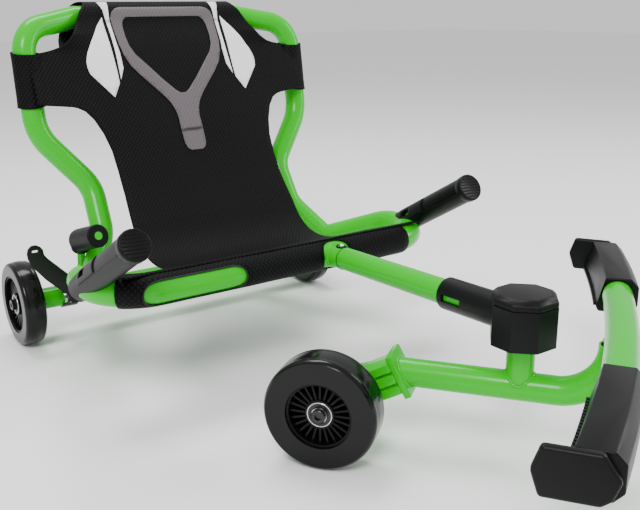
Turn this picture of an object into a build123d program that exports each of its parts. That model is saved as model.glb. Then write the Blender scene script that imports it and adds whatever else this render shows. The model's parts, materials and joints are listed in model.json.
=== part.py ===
from build123d import *
from math import asin, cos, degrees, radians, sin
import os

# Ride-on kart that is swung along with the feet: a bent tube seat frame on two rear wheels, a forward boom
# that ends in a pivot head, and a steered front arm with a trailing wheel and a bowed foot bar.
# Frame: millimetres, +Z up, the kart faces -Y, the rider's left is +X.
# The origin is on the floor, under the middle of the rear axle.

os.makedirs("parts", exist_ok=True)

# ---- driving dimensions: wheels ----
rear_wheel_r = 62.5
rear_wheel_width = 30.8
half_track = 253.4
front_wheel_r = 64.0
front_wheel_width = 40.0
bearing_r = 13.0
bearing_bore_r = 5.0
bearing_width = 8.0
axle_bolt_r = 4.95
rear_hub_r = 42.6
front_hub_r = 37.5
rear_spokes = 24
front_spokes = 24

# ---- driving dimensions: seat frame ----
frame_tube_r = 15.9
bar_tube_r = 19.05
tube_wall = 2.0
front_bar_y = -325.0
front_bar_z = 158.5
side_rail_x = 246.0
bar_bend_r = 62.0
sleeve_half_width = 226.0
back_top_y = 28.0
back_top_z = 469.0
back_top_half = 130.0

# ---- driving dimensions: boom, head and front arm ----
boom_x = 69.7
boom_r = 15.0
boom_wall = 1.8
boom_pitch = 1.5
stub_reach = 18.95
stub_length = bar_tube_r + stub_reach
head_y = -671.0
housing_half = 34.0
housing_front_cut = 19.5
housing_rear_cut = 22.0
housing_bottom = 141.5
housing_top = 197.5
head_sleeve_r = 19.0
head_sleeve_length = 78.0
spindle_r = 11.0
post_r = 15.0
steer_rest = 36.2
leg_bar_z = 90.6
leg_bend_r = 55.0
leg_bend_y = -93.0
flange_y = 128.0
wheel_trail = 199.0
wheel_offset = -65.0
foot_bar_r = 17.0
foot_bar_y = -99.0
foot_bar_z = 160.0
foot_bar_bow_r = 1900.0
foot_half = 298.0
pad_inner = 128.0
plate_thickness = 9.0

# ---- driving dimensions: grips, brake, fabric ----
grip_tube_r = 11.1
grip_r = 17.5
grip_low_offset = (4.4, 77.0, -7.7)
grip_high_offset = (0.0, -88.0, 83.5)
tyre_to_lever = 50.0
lever_to_rail = 23.95
brake_x = -(half_track - rear_wheel_width / 2 - tyre_to_lever)
side_rail_rear_x = -brake_x - lever_to_rail - bar_tube_r
brake_pivot_y = -31.0
brake_pivot_z = 68.0
brake_rod_r = 5.5
brake_hub_r = 8.5
knob_r = 15.6
brake_arm_y = -41.5
brake_arm_thickness = 3.0
fabric = 1.5

# ---- clearances ----
running_gap = 0.05
side_gap = 0.4
cloth_gap = 0.35


def ring(outer, inner, length):
    return Cylinder(outer, length) - Cylinder(inner, length)


def along_x(solid, x=0.0, y=0.0, z=0.0):
    return Pos(x, y, z) * Rot(0, 90, 0) * solid


def tube_on(path, outer, inner=None):
    start = Plane(origin=path @ 0, z_dir=path % 0)
    solid = sweep(start * Circle(outer), path=path)
    if inner:
        solid -= sweep(start * Circle(inner), path=path)
    return solid


def mirrored(solid):
    return mirror(solid, about=Plane.YZ)


def front_arm_place(solid):
    """Takes a solid from the front arm's own straight-ahead frame to its place, steered about the head."""
    return Pos(boom_x, head_y, 0) * Rot(0, 0, steer_rest) * solid


def save(name, *solids):
    parts = [one for item in solids for one in item.solids()]
    shape = parts[0] if len(parts) == 1 else Compound(children=[Solid(p.wrapped) for p in parts])
    export_step(shape, f"parts/{name}.step")
    print(name, len(parts), round(sum(p.volume for p in parts) / 1000, 1))


# ======================= wheels =======================
# A wheel is drawn on the X axis, centred on the origin, with its outer face towards -X.


def tyre_solid(outer, inner, width, shoulder, crown):
    h = width / 2
    with BuildSketch(Plane.XY) as section:
        with BuildLine():
            Line((-h, inner), (h, inner))
            Line((h, inner), (h, outer - shoulder))
            ThreePointArc((h, outer - shoulder), (h * 0.86, outer - shoulder * 0.34), (h * 0.55, outer - crown))
            ThreePointArc((h * 0.55, outer - crown), (0, outer), (-h * 0.55, outer - crown))
            ThreePointArc((-h * 0.55, outer - crown), (-h * 0.86, outer - shoulder * 0.34), (-h, outer - shoulder))
            Line((-h, outer - shoulder), (-h, inner))
        make_face()
    return revolve(section.sketch, axis=Axis.X)


def hub_solid(outer, width, boss_half, spokes, lean):
    """Rim, boss with two bearing seats, a thin web and leaning ribs on both sides of it."""
    rim = ring(outer, outer - 3.0, width - 3.0)
    boss = Cylinder(bearing_r + 3.5, 2 * boss_half)
    web = Cylinder(outer - 2.0, 3.0)
    spoke_length = outer - bearing_r - 4.0
    middle = bearing_r + 2.0 + spoke_length / 2
    spoke = Pos(middle, 0, 0) * Rot(0, 0, lean) * Box(spoke_length / cos(radians(lean)), 2.4, width - 12.0)
    trim = Cylinder(outer - 1.0, width)
    solid = rim + boss + web
    solid += [(Rot(0, 0, 360 * n / spokes) * spoke) & trim for n in range(spokes)]
    solid -= Cylinder(axle_bolt_r + 2.5, 2 * boss_half + 1)
    for side in (-1, 1):
        solid -= Pos(0, 0, side * (boss_half - bearing_width / 2)) * Cylinder(bearing_r, bearing_width)
    return along_x(solid)


def bearing_pair(boss_half):
    one = ring(bearing_r, bearing_bore_r, bearing_width)
    one -= Pos(0, 0, bearing_width / 2) * ring(bearing_r - 2.2, bearing_bore_r + 2.2, 1.0)
    one -= Pos(0, 0, -bearing_width / 2) * ring(bearing_r - 2.2, bearing_bore_r + 2.2, 1.0)
    place = boss_half - bearing_width / 2
    return [along_x(one, x=side * place) for side in (-1, 1)]


def bearing_tube(boss_half):
    return along_x(ring(bearing_bore_r + 2.2, bearing_bore_r, 2 * (boss_half - bearing_width)))


rear_boss_half = 12.0
front_boss_half = 14.0


def hex_bolt(shank_length, head_height=5.0):
    """Along -X from the origin: the head lies at x < 0 and the shank goes to +X. The head has a hexagon socket."""
    head = Pos(0, 0, -head_height / 2) * Cylinder(8.0, head_height)
    head = chamfer(head.edges().group_by(Axis.Z)[0], 0.8)
    head -= Pos(0, 0, -head_height) * extrude(RegularPolygon(4.0, 6), 2.6, both=True)
    return Rot(0, 90, 0) * (head + Pos(0, 0, shank_length / 2) * Cylinder(axle_bolt_r, shank_length))


def rear_wheels():
    for name, side in (("right", -1), ("left", 1)):
        at = Pos(side * half_track, 0, rear_wheel_r)
        turn = Rot(0, 0, 0) if side < 0 else Rot(0, 0, 180)
        save(f"rear_tyre_{name}", at * tyre_solid(rear_wheel_r, rear_hub_r, rear_wheel_width, 6.4, 1.1))
        save(f"rear_hub_{name}", at * turn * hub_solid(rear_hub_r, rear_wheel_width, rear_boss_half, rear_spokes, 24))
        save(f"rear_bearings_{name}", *[at * one for one in bearing_pair(rear_boss_half)])
        save(f"rear_bearing_tube_{name}", at * bearing_tube(rear_boss_half))


def rear_axle():
    spacer_length = 7.0
    tube_half = half_track - rear_boss_half - side_gap - spacer_length
    tube = along_x(ring(frame_tube_r, frame_tube_r - tube_wall, 2 * tube_half), z=rear_wheel_r)
    save("axle_tube", tube)
    plug_length = 26.0
    plugs, bolts, washers, spacers = [], [], [], []
    for side in (-1, 1):
        plug = ring(frame_tube_r - tube_wall, axle_bolt_r + running_gap, plug_length)
        plugs.append(along_x(plug, x=side * (tube_half - plug_length / 2), z=rear_wheel_r))
        spacer = ring(9.0, axle_bolt_r + running_gap, spacer_length)
        spacers.append(along_x(spacer, x=side * (tube_half + spacer_length / 2), z=rear_wheel_r))
        face = half_track + rear_boss_half + side_gap
        washers.append(along_x(ring(8.6, axle_bolt_r + running_gap, 1.4), x=side * (face + 0.7), z=rear_wheel_r))
        bolt = hex_bolt(face + 1.4 - tube_half + plug_length - 4)
        bolt = bolt if side < 0 else Rot(0, 0, 180) * bolt
        bolts.append(Pos(side * (face + 1.4), 0, rear_wheel_r) * bolt)
    save("axle_end_plugs", *plugs)
    save("axle_spacers", *spacers)
    save("axle_bolts", *bolts)
    save("axle_washers", *washers)
    return tube_half


# ======================= seat frame =======================


def bar_path():
    points = [
        (-side_rail_x, front_bar_y + bar_bend_r + 6, front_bar_z),
        (-side_rail_x, front_bar_y, front_bar_z),
        (side_rail_x, front_bar_y, front_bar_z),
        (side_rail_x, front_bar_y + bar_bend_r + 6, front_bar_z),
    ]
    return FilletPolyline(*points, radius=bar_bend_r)


def side_rail_path():
    start = (side_rail_x, front_bar_y + bar_bend_r + 6, front_bar_z)
    points = [
        start,
        (side_rail_x, start[1] + 20, front_bar_z),
        (side_rail_rear_x, -frame_tube_r - 6, rear_wheel_r + 12),
        (side_rail_rear_x, 0, rear_wheel_r),
    ]
    return FilletPolyline(*points, radius=[60.0, 12.0])


def back_tube_path():
    points = [
        (206.0, -150.0, 112.0),
        (160.0, -96.0, 175.0),
        (157.0, -60.0, 236.0),
        (219.0, -29.0, 312.0),
        (219.0, -4.0, 452.0),
        (back_top_half, back_top_y, back_top_z),
        (back_top_half - 20, back_top_y, back_top_z),
    ]
    return FilletPolyline(*points, radius=[55.0, 55.0, 70.0, 42.0, 30.0])


def seat_frame():
    bar_full = tube_on(bar_path(), bar_tube_r)
    bar = tube_on(bar_path(), bar_tube_r, bar_tube_r - tube_wall)
    save("front_bar", bar)
    axle_core = along_x(Cylinder(frame_tube_r, 600), z=rear_wheel_r)
    rail_path = side_rail_path()
    rail_full = tube_on(rail_path, bar_tube_r)
    rail = tube_on(rail_path, bar_tube_r, bar_tube_r - tube_wall) - axle_core
    rail = max(rail.solids(), key=lambda s: s.volume)
    save("side_rail_left", rail)
    save("side_rail_right", mirrored(rail))
    path = back_tube_path()
    back_full = tube_on(path, frame_tube_r)
    back = tube_on(path, frame_tube_r, frame_tube_r - tube_wall) - rail_full
    back = max(back.solids(), key=lambda s: s.volume)
    save("back_tube_left", back)
    save("back_tube_right", mirrored(back))
    top_length = 2 * (back_top_half - 20)
    save("back_top_tube", along_x(ring(frame_tube_r, frame_tube_r - tube_wall, top_length), y=back_top_y, z=back_top_z))
    return bar_full, rail_full


# ======================= hand grips =======================


def grip_frame(side):
    ends = []
    for x, y, z in (grip_low_offset, grip_high_offset):
        ends.append(Vector(side * (side_rail_x + x), front_bar_y + y, front_bar_z + z))
    reach = ends[1] - ends[0]
    return Plane(origin=ends[0], x_dir=(1, 0, 0), z_dir=reach), reach.length


def hand_grips(rail_full, bar_full):
    for name, side in (("left", 1), ("right", -1)):
        plane, length = grip_frame(side)
        frame_solid = (rail_full if side > 0 else mirrored(rail_full)) + bar_full
        low = (Align.CENTER, Align.CENTER, Align.MIN)
        tube_length = length - 9
        tube = Cylinder(grip_tube_r, tube_length, align=low) - Cylinder(grip_tube_r - tube_wall, tube_length, align=low)
        tube = plane * tube - frame_solid
        save(f"grip_tube_{name}", max(tube.solids(), key=lambda s: s.volume))
        body = Cylinder(grip_r, length, align=low)
        body = chamfer(body.edges().group_by(Axis.Z)[0], 4.0)
        body = fillet(body.edges().group_by(Axis.Z)[-1], 2.5)
        body -= Cylinder(grip_tube_r, tube_length, align=low)
        for turn in (25, 155):
            body -= Rot(0, 0, turn) * Pos(grip_r, 0, 58) * Box(2 * grip_r - 8, 9, 17)
        body = plane * body - frame_solid
        save(f"hand_grip_{name}", max(body.solids(), key=lambda s: s.volume))


# ======================= seat fabric =======================


def offset_points(points, amount):
    """Moves each point of an open profile sideways by the given amount."""
    out = []
    for n, here in enumerate(points):
        before = points[max(n - 1, 0)]
        after = points[min(n + 1, len(points) - 1)]
        dy, dz = after[0] - before[0], after[1] - before[1]
        size = (dy * dy + dz * dz) ** 0.5
        out.append((here[0] - dz / size * amount, here[1] + dy / size * amount))
    return out


def seat_sling():
    bar_skin = bar_tube_r + cloth_gap
    top_skin = frame_tube_r + cloth_gap
    profile = [
        (front_bar_y + 6, front_bar_z + bar_skin + 0.3),
        (front_bar_y + 22, front_bar_z + bar_skin - 5),
        (front_bar_y + 55, front_bar_z - 2.5),
        (front_bar_y + 100, front_bar_z - 9.5),
        (-190.0, 152.0),
        (-160.0, 168.0),
        (-136.0, 196.0),
        (-110.0, 232.0),
        (-88.0, 272.0),
        (-64.0, 322.0),
        (-44.0, 364.0),
        (-16.0, 422.0),
        (back_top_y - top_skin - 1.0, back_top_z - 6),
        (back_top_y - top_skin - 0.2, back_top_z + 2),
    ]
    other = offset_points(profile, 2 * fabric)
    with BuildSketch(Plane.YZ) as section:
        with BuildLine():
            Spline(*profile)
            Spline(*other)
            Line(profile[0], other[0])
            Line(profile[-1], other[-1])
        make_face()
    sheet = extrude(section.sketch, 240, both=True)
    wing_x = 219.0 - frame_tube_r - cloth_gap - 0.5
    half = [
        (0, 120), (133, 120), (133, 290), (140, 318), (153, 338), (wing_x, 351), (wing_x, 426),
        (168, 440), (146, 462), (140, back_top_z + 12), (0, back_top_z + 12),
    ]
    with BuildSketch(Plane.XZ) as outline:
        with BuildLine():
            Polyline(*half, *[(-x, z) for x, z in reversed(half[:-1])][:-1], half[0])
        make_face()
    keep = extrude(outline.sketch, 500, both=True)
    narrow = sheet & keep
    lower = Pos(0, front_bar_y + 14, front_bar_z) * Box(2 * sleeve_half_width, 110, 90)
    front_part = sheet & lower
    front_part &= trapezoid_keep()
    body = narrow + front_part
    sleeve = tube_on(bar_path(), bar_skin + fabric) - tube_on(bar_path(), bar_skin)
    sleeve &= Box(2 * sleeve_half_width, 1000, 1000)
    cut_front = Pos(0, front_bar_y - 12, front_bar_z)
    sleeve -= cut_front * Pos(-137.5, 0, 0) * Box(133, 28, 60)
    sleeve -= cut_front * Pos(boom_x, 0, 0) * Box(2 * boom_r + 12, 60, 60)
    hem = along_x(ring(top_skin + fabric, top_skin, 2 * (back_top_half - 22)), y=back_top_y, z=back_top_z)
    body = body + sleeve + hem
    path = back_tube_path()
    sock = Plane(origin=path @ 0, z_dir=path % 0)
    wing = sweep(sock * Circle(top_skin + fabric), path=path) - sweep(sock * Circle(top_skin), path=path)
    band = Pos(219, -20, 389) * Box(60, 80, 72)
    wing = wing & band
    body = body + wing + mirrored(wing)
    inside = tube_on(path, top_skin)
    body = body - inside - mirrored(inside)
    return max(body.solids(), key=lambda s: s.volume)


def trapezoid_keep():
    """Plan outline of the seat's front part, which widens from the back edge of the seat to the front bar."""
    with BuildSketch(Plane.XY) as plan:
        with BuildLine():
            Polyline((-196, -330), (196, -330), (202, -300), (133, -255), (-133, -255), (-202, -300), (-196, -330))
        make_face()
    return extrude(plan.sketch, 400)


# ======================= boom and head =======================


def boom_frame():
    """Origin where the boom's axis crosses the front bar's axis, z along the boom towards the head."""
    pitch = radians(boom_pitch)
    return Plane(origin=(boom_x, front_bar_y, front_bar_z), x_dir=(1, 0, 0), z_dir=(0, -cos(pitch), sin(pitch)))


def boom_parts():
    frame = boom_frame()
    low = (Align.CENTER, Align.CENTER, Align.MIN)
    core = along_x(Cylinder(bar_tube_r, 560), y=front_bar_y, z=front_bar_z)
    stub = Cylinder(boom_r, stub_length, align=low) - Cylinder(boom_r - boom_wall, stub_length, align=low)
    button_at = stub_length - 8
    hole = Pos(0, boom_r, button_at) * Rot(90, 0, 0) * Cylinder(4.2, 3 * boom_wall + 4)
    stub_placed = frame * (stub - hole) - core
    save("boom_stub", max(stub_placed.solids(), key=lambda s: s.volume))
    spigot_r = boom_r - boom_wall - running_gap
    reach = abs(head_y - front_bar_y) / cos(radians(boom_pitch))
    spigot_length = 70.0
    spigot = Pos(0, 0, bar_tube_r + 1.5) * (
        Cylinder(spigot_r, spigot_length, align=low) - Cylinder(spigot_r - boom_wall, spigot_length, align=low)
    )
    spigot -= Pos(0, boom_r, button_at) * Rot(90, 0, 0) * Cylinder(3.9, 4 * boom_wall + 6)
    save("boom_spigot", frame * spigot)
    head_tube_r = spindle_r + 6.0
    boom_length = reach - head_tube_r - 0.2 - stub_length
    boom = Pos(0, 0, stub_length) * (
        Cylinder(boom_r, boom_length, align=low) - Cylinder(boom_r - boom_wall, boom_length, align=low)
    )
    head_core = Pos(boom_x, head_y, 166) * Cylinder(head_tube_r, 120)
    save("boom_tube", frame * boom - head_core)
    button = Pos(0, 0, button_at) * Rot(-90, 0, 0) * (
        Pos(0, 0, boom_r + 0.6 - 2.8) * Cylinder(3.5, 5.6) + Pos(0, 0, boom_r + 0.6) * Sphere(3.5)
        + Pos(0, 0, spigot_r - boom_wall - 1.0 - side_gap - 0.6) * Cylinder(4.6, 1.2)
    )
    save("snap_button", frame * button)
    inner_r = spigot_r - boom_wall
    clip = Pos(0, -2.0, button_at + 14) * Box(4, 1.0, 46)
    clip += Pos(0, 0, button_at + 36.5) * Box(4, 2 * inner_r - 0.5, 1.0)
    save("snap_spring", frame * clip)


def housing_plan(grow=0.0):
    """Eight-sided plan of the head, with bigger cut corners on the boom's side."""
    h = housing_half + grow
    front = housing_front_cut + 0.586 * grow
    rear = housing_rear_cut + 0.586 * grow
    return [
        (-h, -h + front), (-h + front, -h), (h - front, -h), (h, -h + front),
        (h, h - rear), (h - rear, h), (-h + rear, h), (-h, h - rear), (-h, -h + front),
    ]


def outline_prism(points, height):
    with BuildSketch(Plane.XY) as plan:
        with BuildLine():
            Polyline(*points)
        make_face()
    return extrude(plan.sketch, height)


def head_parts():
    at = Pos(boom_x, head_y, 0)
    wall = 3.0
    cap_height = 12.0
    height = housing_top - housing_bottom
    frame = boom_frame()
    reach = abs(head_y - front_bar_y) / cos(radians(boom_pitch))
    low = (Align.CENTER, Align.CENTER, Align.MIN)
    sleeve = frame * Pos(0, 0, reach - housing_half - head_sleeve_length) * (
        Cylinder(head_sleeve_r, head_sleeve_length + 8, align=low)
    )
    bore = frame * Pos(0, 0, reach - housing_half - head_sleeve_length - 5) * (
        Cylinder(boom_r, head_sleeve_length + 30, align=low)
    )
    slot_middle = reach - housing_half - head_sleeve_length + 22
    slot = frame * Pos(-head_sleeve_r, 0, slot_middle) * Box(20, 8, 29)
    shell = at * Pos(0, 0, housing_bottom) * outline_prism(housing_plan(), height - cap_height)
    shell = shell + sleeve
    inside = at * Pos(0, 0, housing_bottom + wall) * outline_prism(housing_plan(-wall), height)
    shell = shell - inside - bore - slot
    shell -= at * Pos(0, 0, housing_bottom) * Cylinder(post_r + 1.5, 3 * wall)
    save("head_housing", max(shell.solids(), key=lambda s: s.volume))
    cap = Pos(0, 0, housing_top - cap_height) * outline_prism(housing_plan(), cap_height)
    cap = chamfer(cap.faces().sort_by(Axis.Z)[-1].edges(), 6.0)
    cap -= Pos(0, 0, housing_top - cap_height) * outline_prism(housing_plan(-8.5), cap_height - wall)
    save("head_cap", at * cap)
    tube_low, tube_high = housing_bottom + wall, housing_top - cap_height - 4
    tube = Pos(0, 0, (tube_low + tube_high) / 2) * ring(spindle_r + 6.0, spindle_r + 3.5, tube_high - tube_low)
    save("head_tube", at * tube)
    bushes = []
    for z in (tube_low + 7, tube_high - 7):
        bushes.append(at * Pos(0, 0, z) * ring(spindle_r + 3.5, spindle_r + running_gap, 14))
    save("head_bushes", *bushes)
    spindle_top = tube_high + 1.0
    spindle_low = leg_bar_z
    collar_low = housing_bottom - 0.6
    post = Pos(0, 0, (spindle_low + collar_low) / 2) * Cylinder(post_r, collar_low - spindle_low)
    spindle = Pos(0, 0, (collar_low + spindle_top) / 2) * Cylinder(spindle_r, spindle_top - collar_low)
    leg_core = Pos(0, 0, leg_bar_z) * Rot(90, 0, 0) * Cylinder(frame_tube_r, 200)
    save("steering_post", front_arm_place(max((post + spindle - leg_core).solids(), key=lambda s: s.volume)))
    washer = Pos(0, 0, spindle_top + 0.8) * Cylinder(spindle_r + 5.5, 1.6)
    head = Pos(0, 0, spindle_top + 1.6 + 1.2) * Cylinder(6.5, 2.4)
    save("head_bolt", front_arm_place(head))
    save("head_washer", front_arm_place(washer))


# ======================= front arm =======================


def leg_path():
    points = [(0, flange_y + 14, leg_bar_z), (0, leg_bend_y, leg_bar_z), (0, leg_bend_y, foot_bar_z)]
    return FilletPolyline(*points, radius=leg_bend_r)


arm_slope = 28.0


def arm_plane():
    """Origin on the flange's middle, x across the kart, y along the arm towards the wheel's axle."""
    slope = radians(arm_slope)
    return Plane(origin=(0, flange_y, leg_bar_z), x_dir=(1, 0, 0), z_dir=(0, sin(slope), cos(slope)))


def foot_bar_turn():
    return Pos(0, foot_bar_y + foot_bar_bow_r, foot_bar_z)


def bowed(section, x_from, x_to):
    """Revolves a section, drawn in Y and Z about the foot bar's middle, along the bar's bow."""
    from_angle = degrees_of(x_from)
    to_angle = degrees_of(x_to)
    shape = Pos(0, -foot_bar_bow_r, 0) * section
    shape = Rot(0, 0, from_angle) * shape
    axis = Axis((0, 0, 0), (0, 0, 1))
    return foot_bar_turn() * revolve(shape, axis=axis, revolution_arc=to_angle - from_angle)


def degrees_of(x):
    return degrees(asin(x / foot_bar_bow_r))


def foot_bar_solid(radius):
    return bowed(Plane.YZ * Circle(radius), -(foot_half - plate_thickness - 4), foot_half - plate_thickness - 4)


def pad_section():
    points = [(14, 20.5), (-14, 20.5), (-23, 11), (-23, -12), (-15, -20.5), (20, -20.5), (23, -15), (14, 20.5)]
    with BuildSketch(Plane.YZ) as sketch:
        with BuildLine():
            Polyline(*points)
        make_face()
    return sketch.sketch


def front_arm():
    foot_full = foot_bar_solid(foot_bar_r)
    save("foot_bar", front_arm_place(foot_full - foot_bar_solid(foot_bar_r - tube_wall)))
    plane = arm_plane()
    flange_thickness = 8.0
    flange = plane * Pos(0, 0, 0) * Box(40, flange_thickness, 52)
    beyond = plane * Pos(0, 100 - flange_thickness / 2, 0) * Box(200, 200, 300)
    leg = tube_on(leg_path(), frame_tube_r, frame_tube_r - tube_wall) - foot_full - beyond
    save("leg_bar", front_arm_place(max(leg.solids(), key=lambda s: s.volume)))
    save("wheel_flange", front_arm_place(flange))
    axle = plane.to_local_coords(Vector(0, wheel_trail, front_wheel_r))
    depth = 37.5
    start = flange_thickness / 2
    boss_r = 15.0
    with BuildSketch(plane * Plane.YZ) as side:
        with BuildLine():
            Polyline(
                (start, -depth / 2), (start + 34, -depth / 2), (axle.Y, axle.Z - boss_r),
                (axle.Y, axle.Z + boss_r), (start + 34, depth / 2), (start, depth / 2), (start, -depth / 2),
            )
        make_face()
    arm = extrude(side.sketch, 20, both=True)
    arm += Pos(0, wheel_trail, front_wheel_r) * Rot(0, 90, 0) * Cylinder(boss_r, 40)
    for z in (-7.0, 7.0):
        arm -= plane * Pos(-20, 30, z) * Box(8, 60, 3.0)
    arm -= Pos(0, wheel_trail, front_wheel_r) * Rot(0, 90, 0) * Cylinder(axle_bolt_r + running_gap, 60)
    save("wheel_arm", front_arm_place(arm))
    pads_and_plates(foot_full)
    front_wheel()


def pads_and_plates(foot_full):
    for name, side in (("left", 1), ("right", -1)):
        inner, outer = side * pad_inner, side * (foot_half - plate_thickness)
        pad = bowed(pad_section(), min(inner, outer), max(inner, outer)) - foot_full
        pad &= Pos(0, foot_bar_y, foot_bar_z) * Box(2 * (foot_half - plate_thickness), 200, 100)
        save(f"foot_pad_{name}", front_arm_place(max(pad.solids(), key=lambda s: s.volume)))
        outline = [
            (59, 22), (66, 1), (59, -20), (15, -21), (7, -15), (1, 1), (15, 21), (59, 22),
        ]
        with BuildSketch(Plane.YZ) as sketch:
            with BuildLine():
                Polyline(*outline)
            make_face()
        plate = extrude(sketch.sketch, side * plate_thickness)
        plate = Pos(side * (foot_half - plate_thickness), foot_bar_y, foot_bar_z) * plate
        save(f"foot_plate_{name}", front_arm_place(plate))


def front_wheel():
    place = Pos(wheel_offset, wheel_trail, front_wheel_r)
    save("front_tyre", front_arm_place(place * tyre_solid(front_wheel_r, front_hub_r, front_wheel_width, 3.6, 0.4)))
    hub = hub_solid(front_hub_r, front_wheel_width - 3, front_boss_half, front_spokes, 0)
    save("front_hub", front_arm_place(place * hub))
    save("front_bearings", *[front_arm_place(place * one) for one in bearing_pair(front_boss_half)])
    save("front_bearing_tube", front_arm_place(place * bearing_tube(front_boss_half)))
    inner_face = wheel_offset + front_boss_half + side_gap
    spacer_length = -20.0 - inner_face
    spacer = ring(8.6, axle_bolt_r + running_gap, spacer_length)
    save("front_spacer", front_arm_place(along_x(spacer, x=inner_face + spacer_length / 2, y=wheel_trail, z=front_wheel_r)))
    outer_face = wheel_offset - front_boss_half - side_gap
    washer = ring(8.6, axle_bolt_r + running_gap, 1.4)
    save("front_washer", front_arm_place(along_x(washer, x=outer_face - 0.7, y=wheel_trail, z=front_wheel_r)))
    bolt_length = 20.0 + 10.0 - outer_face + 1.4
    save("front_bolt", front_arm_place(Pos(outer_face - 1.4, wheel_trail, front_wheel_r) * hex_bolt(bolt_length)))
    nut = extrude(RegularPolygon(9.2, 6), 8.0) - Cylinder(axle_bolt_r + running_gap, 40)
    save("front_nut", front_arm_place(Pos(20.0, wheel_trail, front_wheel_r) * Rot(0, 90, 0) * nut))


# ======================= brake =======================


def brake_parts():
    pivot = Pos(brake_x, brake_pivot_y, brake_pivot_z)
    ear_gap = 9.0
    ear = 2.5
    bracket = along_x(ring(frame_tube_r + ear, frame_tube_r, 2 * (ear_gap + ear)), x=brake_x, z=rear_wheel_r)
    bracket &= Pos(brake_x, -30, rear_wheel_r) * Box(80, 60, 60)
    reach = Vector(0, brake_pivot_y, brake_pivot_z - rear_wheel_r)
    for side in (-1, 1):
        x = brake_x + side * (ear_gap + ear / 2)
        lug = along_x(Cylinder(9.0, ear), x=x, y=brake_pivot_y, z=brake_pivot_z)
        web = Pos(x, brake_pivot_y / 2 - 3, (brake_pivot_z + rear_wheel_r) / 2) * Box(ear, abs(reach.Y) - 2, 17)
        bracket += lug + web
    bracket -= along_x(Cylinder(frame_tube_r, 200), x=brake_x, z=rear_wheel_r)
    bracket -= pivot * Rot(0, 90, 0) * Cylinder(4.0 + running_gap, 80)
    save("brake_bracket", bracket)
    pin = along_x(Cylinder(4.0, 2 * (ear_gap + ear) + 10), x=brake_x + 1)
    head = along_x(Cylinder(7.0, 4.0), x=brake_x - ear_gap - ear - 2.0)
    save("brake_pivot_bolt", Pos(0, brake_pivot_y, brake_pivot_z) * (pin + head))
    nut = Rot(0, 90, 0) * (extrude(RegularPolygon(7.2, 6), 5.0) - Cylinder(4.0 + running_gap, 30))
    save("brake_pivot_nut", Pos(brake_x + ear_gap + ear, brake_pivot_y, brake_pivot_z) * nut)
    hub_length = 2 * (ear_gap - side_gap)
    hub = pivot * Rot(0, 90, 0) * ring(brake_hub_r, 4.0 + running_gap, hub_length)
    at = Vector(brake_x, brake_pivot_y, brake_pivot_z)
    knob_back = at + Vector(-15, -93, 110)
    knob_front = at + Vector(-8, -144, 125.5)
    path = FilletPolyline(
        at + Vector(0, -5, 5),
        at + Vector(-2, -26, 32),
        at + Vector(-5, -61, 67),
        knob_back,
        knob_front,
        radius=[60.0, 60.0, 14.0],
    )
    rod = tube_on(path, brake_rod_r) - pivot * Rot(0, 90, 0) * Cylinder(4.0 + running_gap, hub_length)
    save("brake_rod", hub + max(rod.solids(), key=lambda s: s.volume))
    reach = knob_front - knob_back
    seat = Plane(origin=knob_back, x_dir=(1, 0, 0), z_dir=reach)
    barrel = Cylinder(knob_r, reach.length - 0.5, align=(Align.CENTER, Align.CENTER, Align.MIN))
    barrel = fillet(barrel.edges().group_by(Axis.Z)[-1], 2.0)
    rise = Plane(origin=knob_back, x_dir=(1, 0, 0), z_dir=Vector(-7.0, -29.0, 43.0))
    neck = rise * Pos(0, 0, -8) * Cone(12.5, knob_r, 16)
    knob = seat * (barrel + Sphere(knob_r)) + neck - tube_on(path, brake_rod_r)
    save("brake_knob", max(knob.solids(), key=lambda s: s.volume))
    brake_arm(path)


def brake_arm(rod_path):
    outline = [
        (5, -6), (5, 18), (-8, 38), (-38, 69), (-42, 75), (-43, 82), (-46, 87), (-52, 90.5), (-59, 90),
        (-64, 85.5), (-66, 79), (-65, 71), (-61, 60), (-42, 36), (-14, 8), (-8, -6), (5, -6),
    ]
    with BuildSketch(Plane.XZ.offset(-brake_arm_y)) as face:
        with BuildLine():
            Polyline(*outline)
        make_face()
        with Locations((-54.5, 81.5)):
            SlotOverall(9, 3.6, mode=Mode.SUBTRACT)
    arm = Pos(brake_x, 0, brake_pivot_z) * extrude(face.sketch, brake_arm_thickness)
    tab = Pos(brake_x - 2, (brake_arm_y + brake_pivot_y) / 2 - 2, brake_pivot_z + 1) * Box(10, 10, 6)
    arm = arm + tab - Pos(brake_x, brake_pivot_y, brake_pivot_z) * Rot(0, 90, 0) * Cylinder(brake_hub_r, 60)
    arm -= tube_on(rod_path, brake_rod_r)
    save("brake_arm", max(arm.solids(), key=lambda s: s.volume))


rear_wheels()
rear_axle()
bar_full, rail_full = seat_frame()
hand_grips(rail_full, bar_full)
save("seat_sling", seat_sling())
boom_parts()
head_parts()
front_arm()
brake_parts()
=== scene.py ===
# %% [markdown]
# # A ride-on kart, dressed over its CAD frame
# The CAD model gives every tube, wheel and joint its exact place. This notebook adds what CAD is poor at: woven
# cloth, moulded edges, stitching, weld beads, paint and light. All sizes are in metres in the kart's own frame:
# the floor is z = 0, the rear axle runs along x and the kart faces -y.

import json
import math

import bmesh
import bpy
import numpy as np
from mathutils import Matrix, Vector

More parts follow.
